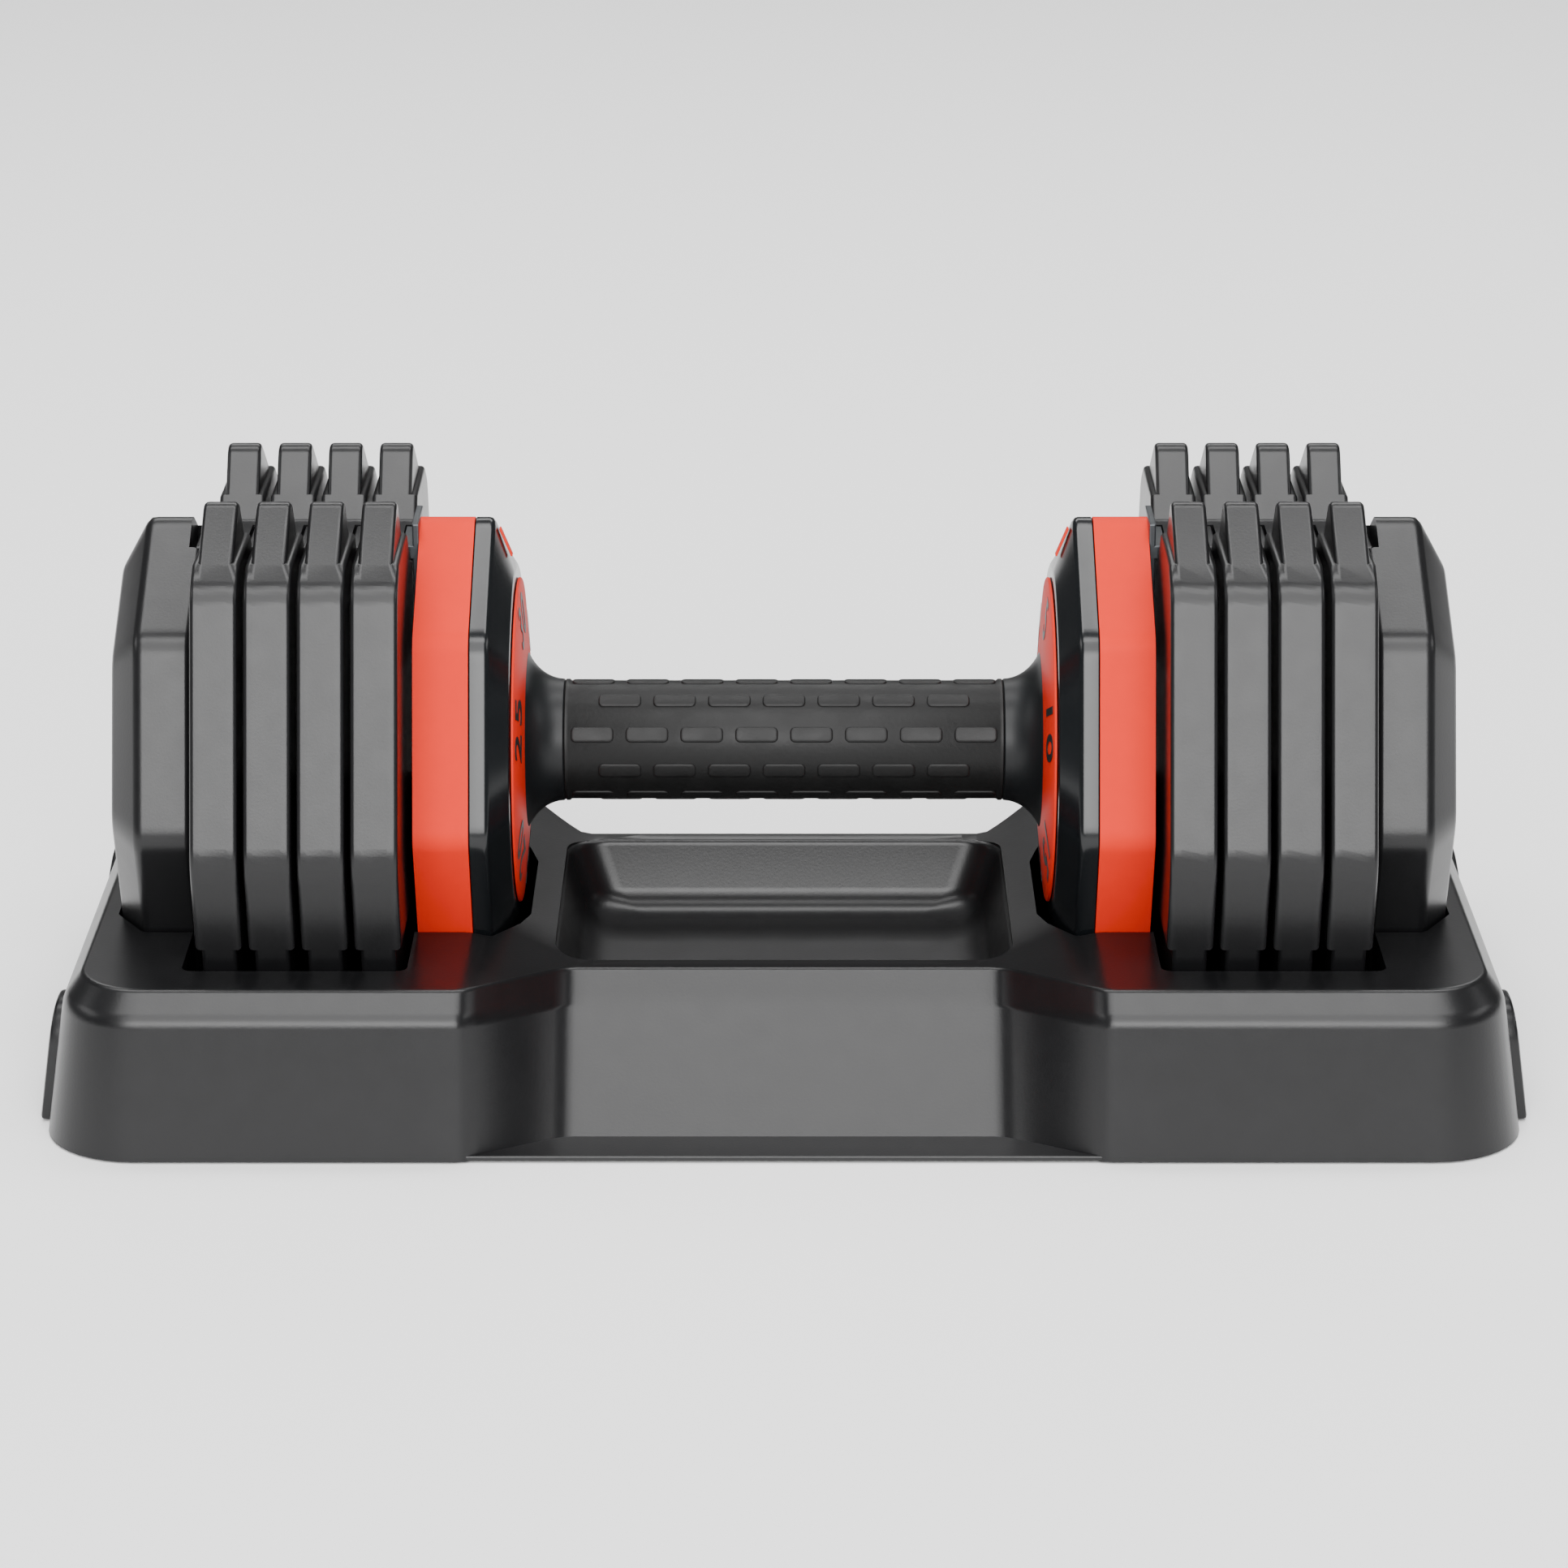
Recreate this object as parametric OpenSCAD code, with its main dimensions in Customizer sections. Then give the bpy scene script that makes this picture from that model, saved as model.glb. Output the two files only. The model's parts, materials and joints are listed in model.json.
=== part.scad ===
// Adjustable dumbbell in its storage tray.
// X runs along the handle, Z is up, and the origin is on the floor under the middle of the handle.

/* [Handle] */
// Height of the handle axis above the floor
axis_h = 85; // [84.8:0.1:85.4]
// Outer radius of the rubber grip
grip_r = 17; // [16:0.5:18]
// Outer radius of the steel tube under the grip
tube_r = 14; // [13.8:0.1:14]
// Outer radius of the printed dial
dial_r = 45.3; // [42:0.1:46]

/* [Selector] */
// Radius of the sliding selector shaft
shaft_r = 9; // [8.8:0.1:9]
// Number of weight settings on the dial
settings = 6; // [6:1:6]
// Running clearance between a shaft and its bush
running_gap = 0.05; // [0.03:0.01:0.08]

/* [Weight plates] */
// Distance from one thin plate to the next
plate_pitch = 14.19; // [14.1:0.01:14.3]
// Thickness of a thin plate's raised middle
boss_t = 12.66; // [12.2:0.01:12.8]
// Thickness of a thin plate's ears and foot
thin_t = 9.4; // [8.8:0.1:9.6]
// Thickness of the steel core inside a thin plate
core_t = 7.4; // [6:0.1:7.6]

/* [Tray] */
// Height of the tray at its two ends
tray_h = 45; // [44:0.5:46]
// Wall thickness of the tray moulding
wall = 2.5; // [2:0.1:3]
// Half-width of the tray at the floor
tray_y = 103.5; // [103:0.1:105]

/* [Hidden] */
$fn = 64;
hull_fn = 32;
slice = 0.01;
tray_slice = 0.25;
rest_gap = 0.3;

// Stations along X on the right-hand side
grip_end = 60.9;
dial_x = 71.2;
dial_rim_x = 73.2;
dial_back_x = 73.9;
cover_x = 74.2;
rim_x = 80.2;
band_x = 85.05;
head_end = 100;
first_plate_x = 108.6;
end_plate_x = 160;
end_chamfer_x = 174.5;
end_plate_end = 182.5;

// Outlines across the handle as [y, z] from its axis; each is mirrored to the other side
head_side = [[0, 65.3], [41.9, 41.4], [58.7, -10.6], [45.6, -42.6], [36, -66]];
end_face_side = [[0, 51], [32, 33], [46.5, -8], [36, -32], [28, -52]];
plate_side = [[14.6, 59], [30.2, 78.8], [59.3, 60.1], [81.9, -9.3], [74.2, -40.8], [66, -74], [58, -80]];
core_side = [[48, 54], [70, -9], [64, -38], [54, -72]];
boss_top = 65.4;
boss_foot = -34.7;
bore_r = shaft_r + 0.6;
inset = 0.94;

// Tongue on a plate's outer face, and the open-topped notch that it drops into
tongue_y = 10.7;
tongue_top = 59;
tongue_foot = 55;
tongue_reach = 3.7;
notch_depth = 2.8;
slack = 0.5;

// Selector drive: one setting moves each shaft by one plate pitch
step_deg = 360 / settings;
deg_per_mm = step_deg / plate_pitch;
shaft_in = 5;
shaft_out = head_end - 1;
pin_x = shaft_in + 6;
pin_r = 2.5;
cam_in = 4;
cam_out = 84.8;
cam_r = 11.95;
slot_w = 7.2;
slot_lead = 4;
key_w = 3;
key_z = 7;

// Head mechanism
cavity_x = 77.6;
cavity_r = 45;
lock_x = 80;
lock_wheel_t = 3;
lock_wheel_r = 20;
lock_plate_t = 2.4;
lock_drop = 5;
tab_y = 7;
tab_foot = -62;
screw_spots = [[40, 31], [-40, 31], [39, -38], [-39, -38]];
screw_r = 2;

// Tray levels as [height, half-width, end of the tray along X, corner radius]
lobe_levels = [[0.6, tray_y, 198.4, 26], [38.5, 98.2, 193, 22], [tray_h, 91.7, 188, 18]];
lobe_x = 85.5;
waist_x = 58.4;
waist_side = [[90.5, 0.6], [62, 31], [56, 38]];
lip_h = 2.1;
head_floor = axis_h - 66 - rest_gap;
plate_floor = axis_h - 80 - rest_gap;
// Pockets in plan as [x, y] on one side; each is mirrored to the other
head_pocket = [[102, 47.4], [80, 47.4], [72.8, 31.5], [70.3, 22]];
plate_pocket = [[161.3, 77.5], [100.9, 77.5]];
end_pocket = [[183.5, 33], [175, 47.4], [158, 47.4]];
pocket_r = 3;
foot_x = 176;
foot_y = 80;
foot_r = 7;

function plate_x(k) = first_plate_x + (k - 1) * plate_pitch;
function both_sides(side) = concat(side, [for (i = [len(side) - 1:-1:0]) [-side[i][0], side[i][1]]]);
function scaled(side, k) = [for (p = side) p * k];

// Places a part on the right-hand side, or its mirror image on the left
module on_side(right) {
    mirror([right ? 0 : 1, 0, 0]) children();
}

// Raises a part drawn about the handle axis to its height
module at_axis() {
    translate([0, 0, axis_h]) children();
}

// Extrudes an outline given as [y, z] along X
module along_x(x0, x1) {
    translate([x0, 0, 0]) rotate([90, 0, 90]) linear_extrude(x1 - x0) children();
}

module rod(x0, x1, r) {
    translate([x0, 0, 0]) rotate([0, 90, 0]) cylinder(h = x1 - x0, r = r);
}

// A solid of revolution about X from a profile given as [radius, x]
module turned(profile) {
    rotate([0, 90, 0]) rotate_extrude() polygon(profile);
}

module box(low, high) {
    translate(low) cube(high - low);
}

// ---------- Tray ----------

module lobe() {
    hull() for (level = lobe_levels) {
        y = level[1];
        r = level[3];
        z = level[0] < 1 ? level[0] : level[0] - tray_slice;
        for (s = [-1, 1]) translate([level[2] - r, s * (y - r), z]) cylinder(h = tray_slice, r = r, $fn = hull_fn);
        box([lobe_x - tray_slice, -y, z], [lobe_x, y, z + tray_slice]);
    }
}

module waist_section() {
    polygon(both_sides(waist_side));
}

module lobe_section() {
    polygon(both_sides([for (l = lobe_levels) [l[1], l[0]]]));
}

// The outer form of the tray: two end lobes joined by a narrower, lower waist
module tray_form() {
    for (right = [true, false]) on_side(right) {
        lobe();
        hull() {
            along_x(lobe_x - tray_slice, lobe_x) lobe_section();
            along_x(waist_x, waist_x + tray_slice) waist_section();
        }
    }
    along_x(-waist_x - tray_slice, waist_x + tray_slice) waist_section();
}

// The hollow under the tray
module tray_hollow() {
    waist = [for (p = waist_side) [p[0] - wall - 1, p[1] < 1 ? -1 : p[1] - wall]];
    lobe = [for (l = lobe_levels) [l[1] - wall - 1, l[0] < 1 ? -1 : l[0] - wall]];
    along_x(-lobe_x - 6, lobe_x + 6) polygon(both_sides(waist));
    for (right = [true, false]) on_side(right) intersection() {
        along_x(lobe_x + 1, 187) polygon(both_sides(lobe));
        translate([lobe_x - 20, -tray_y + 16, -2]) linear_extrude(60)
            offset(r = 12, $fn = hull_fn) square([187 - 4 - lobe_x + 8, 2 * (tray_y - 16)]);
    }
}

// A pocket with rounded corners, from its floor to above the tray, grown sideways and downwards
module well(plan, floor, grow) {
    outline = concat(plan, [for (i = [len(plan) - 1:-1:0]) [plan[i][0], -plan[i][1]]]);
    translate([0, 0, floor - grow]) linear_extrude(tray_h + 5 - floor + grow)
        offset(r = pocket_r + grow, $fn = hull_fn) offset(delta = -pocket_r) polygon(outline);
}

// The pockets that the head, the thin plates and the end plate stand in; grow adds their walls
module pockets(grow) {
    well(head_pocket, head_floor, grow);
    well(plate_pocket, plate_floor, grow);
    well(end_pocket, head_floor, grow);
}

// The pan under the handle that leaves room for the fingers, as [height, half-length, half-width]
module finger_pan() {
    hull() for (level = [[38.2, 62.3, 49.7], [37, 61.4, 48.8], [23.5, 57.5, 46], [20, 55.6, 44], [18, 50, 39]])
        translate([0, 0, level[0]]) linear_extrude(tray_slice)
            offset(r = 11, $fn = hull_fn) square([2 * level[1] - 22, 2 * level[2] - 22], center = true);
}

// Raised pads low on the end walls
module end_lugs() {
    lug = [[190, 0.6], [201.5, 0.6], [201.3, 5], [197.5, 27], [195.5, 31.5], [190, 32.5]];
    for (s = [-1, 1]) translate([0, s * 62 + 12, 0]) rotate([90, 0, 0]) linear_extrude(24) polygon(lug);
}

// Walls of the pockets and pan, ribs and foot bosses, which stand in the hollow
module tray_inner_walls() {
    for (right = [true, false]) on_side(right) pockets(wall);
    box([-65, -52.2, 18 - wall], [65, 52.2, tray_h]);
    for (s = [-1, 1]) box([-186, s * 82 - 1, 0.6], [186, s * 82 + 1, tray_h]);
    for (x = [-foot_x, foot_x], y = [-foot_y, foot_y])
        translate([x, y, 0.6]) cylinder(h = tray_h, r = foot_r + 2, $fn = hull_fn);
}

module feet(top) {
    for (x = [-foot_x, foot_x], y = [-foot_y, foot_y])
        translate([x, y, 0]) cylinder(h = top, r = foot_r, $fn = hull_fn);
}

module tray_shell() {
    color([0.16, 0.16, 0.17]) {
        difference() {
            union() {
                tray_form();
                box([-lobe_x - 4, -tray_y + 0.8, 0.6], [lobe_x + 4, -86, lip_h]);
                box([-lobe_x - 4, 86, 0.6], [lobe_x + 4, tray_y - 0.8, lip_h]);
                for (right = [true, false]) on_side(right) end_lugs();
            }
            difference() {
                tray_hollow();
                tray_inner_walls();
            }
            for (right = [true, false]) on_side(right) pockets(0);
            finger_pan();
            feet(1.8);
        }
        // Posts that push the lock plates up while the dumbbell is in the tray
        for (right = [true, false]) on_side(right)
            box([lock_x + 0.4, -6, head_floor - 0.5], [lock_x + 2.6, 6, axis_h + tab_foot - rest_gap]);
    }
}

module rubber_feet() {
    color([0.08, 0.08, 0.08]) feet(1.8);
}

// ---------- Weight plates ----------

module notch(x) {
    box([x - 1, -tongue_y - slack, tongue_foot - slack], [x + notch_depth, tongue_y + slack, 80]);
}

module thin_plate(k, right) {
    x = plate_x(k);
    color([0.17, 0.17, 0.18]) on_side(right) at_axis() difference() {
        union() {
            along_x(x - thin_t / 2, x + thin_t / 2) polygon(both_sides(plate_side));
            intersection() {
                along_x(x - boss_t / 2, x + boss_t / 2) polygon(both_sides(plate_side));
                box([x - boss_t, -90, boss_foot], [x + boss_t, 90, boss_top]);
            }
            box([x, -tongue_y, tongue_foot], [x + boss_t / 2 + tongue_reach, tongue_y, tongue_top]);
        }
        along_x(x - core_t / 2, x + core_t / 2) polygon(both_sides(core_side));
        rod(x - boss_t, x + boss_t, bore_r);
        notch(x - boss_t / 2);
    }
}

module steel_core(k, right) {
    x = plate_x(k);
    color([0.5, 0.5, 0.52]) on_side(right) at_axis() difference() {
        along_x(x - core_t / 2, x + core_t / 2) polygon(both_sides(core_side));
        rod(x - boss_t, x + boss_t, bore_r);
    }
}

module end_plate(right) {
    color([0.17, 0.17, 0.18]) on_side(right) at_axis() difference() {
        hull() {
            along_x(end_plate_x, end_chamfer_x) polygon(both_sides(head_side));
            along_x(end_plate_end - slice, end_plate_end) polygon(both_sides(end_face_side));
        }
        along_x(end_plate_x + 3, end_plate_x + 15) polygon(both_sides(scaled(head_side, 0.88)));
        rod(end_plate_x - 1, end_plate_x + 17, bore_r);
        notch(end_plate_x);
    }
}

module end_core(right) {
    color([0.5, 0.5, 0.52]) on_side(right) at_axis() difference() {
        along_x(end_plate_x + 3, end_plate_x + 15) polygon(both_sides(scaled(head_side, 0.88)));
        rod(end_plate_x - 1, end_plate_x + 17, bore_r);
    }
}

// ---------- Heads ----------

module screw_holes(x0, x1, r) {
    for (p = screw_spots) translate([0, p[0], p[1]]) rod(x0, x1, r);
}

module head_cover(right) {
    color([0.12, 0.12, 0.13]) on_side(right) at_axis() difference() {
        hull() {
            along_x(rim_x, band_x) polygon(both_sides(head_side));
            rod(cover_x, cover_x + slice, 49.4, $fn = 48);
        }
        rod(cavity_x, band_x + 1, cavity_r);
        rod(cover_x - 1, band_x, tube_r + 3);
        screw_holes(79.5, band_x + 1, screw_r);
        box([lock_x - 0.1, -tab_y - 0.6, -70], [lock_x + 3.1, tab_y + 0.6, -40]);
    }
}

module head_band(right) {
    color([0.95, 0.28, 0.13]) on_side(right) at_axis() difference() {
        along_x(band_x, head_end) polygon(both_sides(head_side));
        along_x(band_x - 1, head_end - wall) polygon(both_sides(scaled(head_side, inset)));
        rod(band_x, head_end + 1, shaft_r + 4);
        screw_holes(band_x, head_end + 1, 4);
    }
}

module head_weight(right) {
    color([0.5, 0.5, 0.52]) on_side(right) at_axis() difference() {
        along_x(band_x + 0.2, head_end - wall - 0.1) polygon(both_sides(scaled(head_side, inset - 0.003)));
        rod(band_x, head_end + 1, shaft_r + 4);
        screw_holes(band_x, head_end + 1, screw_r + 0.2);
    }
}

module head_screws(right) {
    seat = head_end - wall - 0.1;
    color([0.6, 0.6, 0.62]) on_side(right) at_axis() for (p = screw_spots) translate([0, p[0], p[1]]) difference() {
        union() {
            rod(79.7, seat + 0.1, screw_r);
            rod(seat, seat + 2.3, 3.6);
        }
        translate([seat + 1, 0, 0]) rotate([0, 90, 0]) cylinder(h = 3, r = 1.7, $fn = 6);
    }
}

// Steel bracket on the head's outer face whose lip drops into the first plate's notch
module plate_hook(right) {
    color([0.35, 0.36, 0.38]) on_side(right) at_axis() {
        box([head_end, -10, 24], [head_end + 1.8, 10, 65]);
        box([head_end, -10, tongue_foot], [head_end + 4.6, 10, tongue_top]);
    }
}

module guide_bush(right) {
    color([0.72, 0.58, 0.3]) on_side(right) at_axis() {
        difference() {
            rod(band_x + 0.35, head_end - 0.3, shaft_r + 4);
            rod(band_x, head_end + 1, shaft_r + running_gap);
        }
        box([band_x + 2, -key_w / 2, key_z], [head_end - 2, key_w / 2, shaft_r + 2]);
    }
}

module handle_bush(right) {
    color([0.72, 0.58, 0.3]) on_side(right) at_axis() difference() {
        union() {
            rod(cover_x + 0.2, cavity_x + 1.8, tube_r + 3);
            rod(cavity_x, cavity_x + 1.8, tube_r + 5.5);
        }
        rod(cover_x - 1, cavity_x + 3, tube_r + running_gap);
    }
}

// ---------- Handle ----------

module handle_tube() {
    color([0.6, 0.6, 0.62]) at_axis() difference() {
        rod(-cam_out, cam_out, tube_r);
        rod(-cam_out - 1, cam_out + 1, cam_r + 0.05);
        for (right = [true, false]) on_side(right) difference() {
            rod(83.3, 84.3, tube_r + 1);
            rod(83, 85, tube_r - 0.8);
        }
    }
}

module grip_sleeve() {
    color([0.07, 0.07, 0.07]) at_axis() difference() {
        rod(-grip_end, grip_end, grip_r);
        rod(-grip_end - 1, grip_end + 1, tube_r);
    }
}

// Trumpet-shaped shoulder between the grip and the dial
module flare(right) {
    rise = 7.3;
    steps = 10;
    sweep = 62;
    curve = [for (i = [0:steps]) let (a = i * sweep / steps)
        [grip_r + rise * (1 - cos(a)) / (1 - cos(sweep)), grip_end + (dial_x - grip_end) * sin(a) / sin(sweep)]];
    color([0.1, 0.1, 0.1]) on_side(right) at_axis()
        turned(concat([[tube_r, grip_end]], curve, [[grip_r + rise, dial_back_x], [tube_r, dial_back_x]]));
}

module dial(right) {
    hub = grip_r + 7.3;
    color([0.95, 0.28, 0.13]) on_side(right) at_axis()
        turned([[hub, dial_x], [dial_r, dial_rim_x], [dial_r, dial_back_x], [hub, dial_back_x]]);
}

// Sleeve whose helical slot drives the follower pin along the handle
module cam_sleeve(right) {
    run = cam_out - pin_x + slot_lead + 1;
    color([0.45, 0.45, 0.47]) on_side(right) at_axis() difference() {
        rod(cam_in, cam_out, cam_r);
        rod(cam_in - 1, cam_out + 1, shaft_r + 0.2);
        translate([pin_x - slot_lead, 0, 0]) rotate([0, 90, 0]) rotate([0, 0, slot_lead * deg_per_mm])
            linear_extrude(run, twist = run * deg_per_mm, slices = 60)
                translate([shaft_r - 1, -slot_w / 2]) square([cam_r + 1 - (shaft_r - 1), slot_w]);
    }
}

// Notched wheel on the tube: one notch for each setting
module lock_wheel(right) {
    color([0.55, 0.55, 0.57]) on_side(right) at_axis() difference() {
        rod(lock_x, lock_x + lock_wheel_t, lock_wheel_r);
        rod(lock_x - 1, lock_x + 4, tube_r);
        for (i = [0:settings - 1]) rotate([i * step_deg, 0, 0])
            box([lock_x - 1, -2.8, tube_r + 1.2], [lock_x + 4, 2.8, lock_wheel_r + 1]);
    }
}

module circlip(right) {
    color([0.3, 0.3, 0.32]) on_side(right) at_axis() difference() {
        rod(83.3, 84.3, tube_r + 2.6);
        rod(83, 85, tube_r - 0.8);
        box([83, -5, -20], [85, 5, -12]);
    }
}

// ---------- Selectors and locks ----------

module selector_shaft(right) {
    color([0.7, 0.7, 0.72]) on_side(right) at_axis() difference() {
        union() {
            rod(shaft_in, shaft_out - 1.5, shaft_r);
            turned([[0, shaft_out - 1.5], [shaft_r, shaft_out - 1.5], [shaft_r - 1.5, shaft_out], [0, shaft_out]]);
        }
        box([shaft_in - 1, -key_w / 2 - 0.2, key_z - 0.2], [shaft_out + 1, key_w / 2 + 0.2, shaft_r + 1]);
        translate([pin_x, 0, -shaft_r - 1]) cylinder(h = shaft_r + 4, r = pin_r);
    }
}

module follower_pin(right) {
    color([0.8, 0.8, 0.82]) on_side(right) at_axis()
        translate([pin_x, 0, -cam_r + 0.25]) cylinder(h = cam_r - 0.25 + 3, r = pin_r);
}

// Plate that drops when the dumbbell leaves the tray, so that its tooth holds the notched wheel
module lock_plate(right) {
    x0 = lock_x + 0.3;
    x1 = x0 + lock_plate_t;
    win_r = lock_wheel_r + 1.5;
    color([0.5, 0.5, 0.52]) on_side(right) at_axis() {
        difference() {
            box([x0, -28, -27.5], [x1, 28, 33]);
            rod(x0 - 1, x1 + 1, win_r);
            translate([0, 0, lock_drop]) rod(x0 - 1, x1 + 1, win_r);
            box([x0 - 1, -win_r, 0], [x1 + 1, win_r, lock_drop]);
        }
        box([x0, -2.3, lock_wheel_r + 1], [x1, 2.3, 30]);
        box([x0, -tab_y, tab_foot], [x1, tab_y, -27]);
    }
}

module lock_springs(right) {
    turns = 6;
    low = 33.6;
    high = 41.2;
    color([0.75, 0.75, 0.77]) on_side(right) at_axis() for (y = [-12, 12], i = [0:turns - 1])
        translate([lock_x + 1.5, y, low + i * (high - low) / (turns - 1)])
            rotate_extrude($fn = 24) translate([2.2, 0]) circle(r = 0.5, $fn = 16);
}

tray_shell();
rubber_feet();
end_plate(false);  // end_plate_left
end_plate(true);  // end_plate_right
end_core(false);  // end_core_left
end_core(true);  // end_core_right
thin_plate(1, false);  // plate_1_left
thin_plate(2, false);  // plate_2_left
thin_plate(3, false);  // plate_3_left
thin_plate(4, false);  // plate_4_left
thin_plate(1, true);  // plate_1_right
thin_plate(2, true);  // plate_2_right
thin_plate(3, true);  // plate_3_right
thin_plate(4, true);  // plate_4_right
steel_core(1, false);  // steel_core_1_left
steel_core(2, false);  // steel_core_2_left
steel_core(3, false);  // steel_core_3_left
steel_core(4, false);  // steel_core_4_left
steel_core(1, true);  // steel_core_1_right
steel_core(2, true);  // steel_core_2_right
steel_core(3, true);  // steel_core_3_right
steel_core(4, true);  // steel_core_4_right
head_cover(false);  // head_cover_left
head_cover(true);  // head_cover_right
head_band(false);  // head_band_left
head_band(true);  // head_band_right
head_weight(false);  // head_weight_left
head_weight(true);  // head_weight_right
head_screws(false);  // head_screws_left
head_screws(true);  // head_screws_right
plate_hook(false);  // plate_hook_left
plate_hook(true);  // plate_hook_right
guide_bush(false);  // guide_bush_left
guide_bush(true);  // guide_bush_right
handle_bush(false);  // handle_bush_left
handle_bush(true);  // handle_bush_right
lock_springs(false);  // lock_springs_left
lock_springs(true);  // lock_springs_right
handle_tube();
grip_sleeve();
flare(false);  // flare_left
flare(true);  // flare_right
dial(false);  // dial_left
dial(true);  // dial_right
cam_sleeve(false);  // cam_sleeve_left
cam_sleeve(true);  // cam_sleeve_right
lock_wheel(false);  // lock_wheel_left
lock_wheel(true);  // lock_wheel_right
circlip(false);  // circlip_left
circlip(true);  // circlip_right
selector_shaft(false);  // selector_shaft_left
selector_shaft(true);  // selector_shaft_right
follower_pin(false);  // follower_pin_left
follower_pin(true);  // follower_pin_right
lock_plate(false);  // lock_plate_left
lock_plate(true);  // lock_plate_right
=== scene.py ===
"""Adjustable dumbbell in its tray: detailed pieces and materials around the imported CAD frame."""
import json
import math
import bmesh
import bpy
from mathutils import Matrix, Vector


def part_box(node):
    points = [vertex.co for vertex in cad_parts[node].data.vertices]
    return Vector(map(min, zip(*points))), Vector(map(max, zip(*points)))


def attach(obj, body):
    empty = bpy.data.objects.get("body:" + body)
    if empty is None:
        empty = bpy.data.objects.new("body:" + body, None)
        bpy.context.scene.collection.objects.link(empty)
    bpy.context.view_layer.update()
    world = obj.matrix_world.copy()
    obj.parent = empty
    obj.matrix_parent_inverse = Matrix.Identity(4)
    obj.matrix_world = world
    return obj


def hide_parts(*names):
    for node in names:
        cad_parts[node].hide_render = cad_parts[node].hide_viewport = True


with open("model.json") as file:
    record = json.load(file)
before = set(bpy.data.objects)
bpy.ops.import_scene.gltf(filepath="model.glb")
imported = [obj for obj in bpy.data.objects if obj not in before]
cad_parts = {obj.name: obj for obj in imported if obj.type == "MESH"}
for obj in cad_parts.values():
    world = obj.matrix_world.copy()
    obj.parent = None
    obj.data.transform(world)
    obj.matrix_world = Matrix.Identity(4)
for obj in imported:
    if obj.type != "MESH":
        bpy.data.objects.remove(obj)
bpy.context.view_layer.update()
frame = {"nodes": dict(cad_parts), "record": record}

MM = 0.001
SIDES = {"left": -1, "right": 1}
GRIP_LOW, GRIP_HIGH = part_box("grip_sleeve")
AXIS_Z = (GRIP_LOW.z + GRIP_HIGH.z) / 2 / MM
GRIP_R = (GRIP_HIGH.z - GRIP_LOW.z) / 2 / MM
GRIP_END = GRIP_HIGH.x / MM
DIAL_LOW, DIAL_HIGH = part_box("dial_right")
DIAL_R = (DIAL_HIGH.z - DIAL_LOW.z) / 2 / MM
DIAL_X = DIAL_LOW.x / MM
DIAL_BACK = DIAL_HIGH.x / MM
COVER_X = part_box("head_cover_right")[0].x / MM
BAND_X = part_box("head_band_right")[0].x / MM
HEAD_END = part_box("head_band_right")[1].x / MM
END_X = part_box("end_plate_right")[0].x / MM
END_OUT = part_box("end_plate_right")[1].x / MM
# Points round each section of the end plates and head covers
RAYS = 240
# Where the head cover's bevel meets its rim, and where the end plate's chamfer starts
RIM_X = 80.2
END_CHAMFER_X = 174.5
BORE_R = 9.6
END_BORE_DEPTH = 17
# Thin plates: thickness in the raised middle and round it, and the middle's top and foot from the axis
BOSS_T = 12.66
THIN_T = 9.4
BOSS_TOP = 65.4
BOSS_FOOT = -34.7
RIM_R = 1.3
# The tongue on each thin plate, and the notch that takes the next one's, from the axis
TONGUE_HALF = 10.7
TONGUE_Z = (55, 58.9)
TONGUE_REACH = 3.7
NOTCH_HALF = 11.2
NOTCH_Z = (54.5, 82)
NOTCH_DEPTH = 2.8

# Outlines across the handle as (y, z, corner radius) from its axis, for one side
HEAD_SIDE = [(0, 65.3, 7), (41.9, 41.4, 9), (58.7, -10.6, 9), (45.6, -42.6, 9), (36, -66, 6)]
END_FACE_SIDE = [(0, 51, 9), (32, 33, 9), (46.5, -8, 9), (36, -32, 9), (28, -52, 6)]
PLATE_SIDE = [(14.6, 59, 2), (30.2, 78.8, 5), (59.3, 60.1, 11), (81.9, -9.3, 18),
              (74.2, -40.8, 6), (66, -74, 4), (58, -80, 4)]


# ---------- Mesh helpers ----------

def both_sides(side):
    """A closed outline, counter-clockwise from +X, out of the points on its +Y side."""
    right = list(reversed(side))
    left = [(-p[0], *p[1:]) for p in side if abs(p[0]) > 1e-6]
    return right + left


def rounded(points, steps=5):
    """The outline with an arc of the given radius at each corner."""
    out = []
    count = len(points)
    for i, (y, z, radius) in enumerate(points):
        corner = Vector((y, z))
        before = (Vector(points[i - 1][:2]) - corner)
        after = (Vector(points[(i + 1) % count][:2]) - corner)
        reach = min(before.length, after.length) * 0.49
        before.normalize()
        after.normalize()
        half = before.angle(after) / 2
        trim = min(radius / math.tan(half), reach)
        radius = trim * math.tan(half)
        centre = corner + (before + after).normalized() * (radius / math.sin(half))
        first = corner + before * trim - centre
        turn = first.angle_signed(corner + after * trim - centre)
        for k in range(steps + 1):
            a = -turn * k / steps
            c, s = math.cos(a), math.sin(a)
            out.append((centre.x + first.x * c - first.y * s, centre.y + first.x * s + first.y * c))
    return out


def finish_mesh(name, bm, flip=False, sharp=35):
    """Turns a mesh in millimetres into an object in metres, mirrored to the left when flip is set."""
    for v in bm.verts:
        v.co *= MM
        if flip:
            v.co.x = -v.co.x
    bmesh.ops.remove_doubles(bm, verts=bm.verts, dist=1e-7)
    bmesh.ops.recalc_face_normals(bm, faces=bm.faces)
    mesh = bpy.data.meshes.new(name)
    bm.to_mesh(mesh)
    bm.free()
    mesh.shade_smooth()
    mesh.set_sharp_from_angle(angle=math.radians(sharp))
    obj = bpy.data.objects.new(name, mesh)
    bpy.context.collection.objects.link(obj)
    return obj


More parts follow.
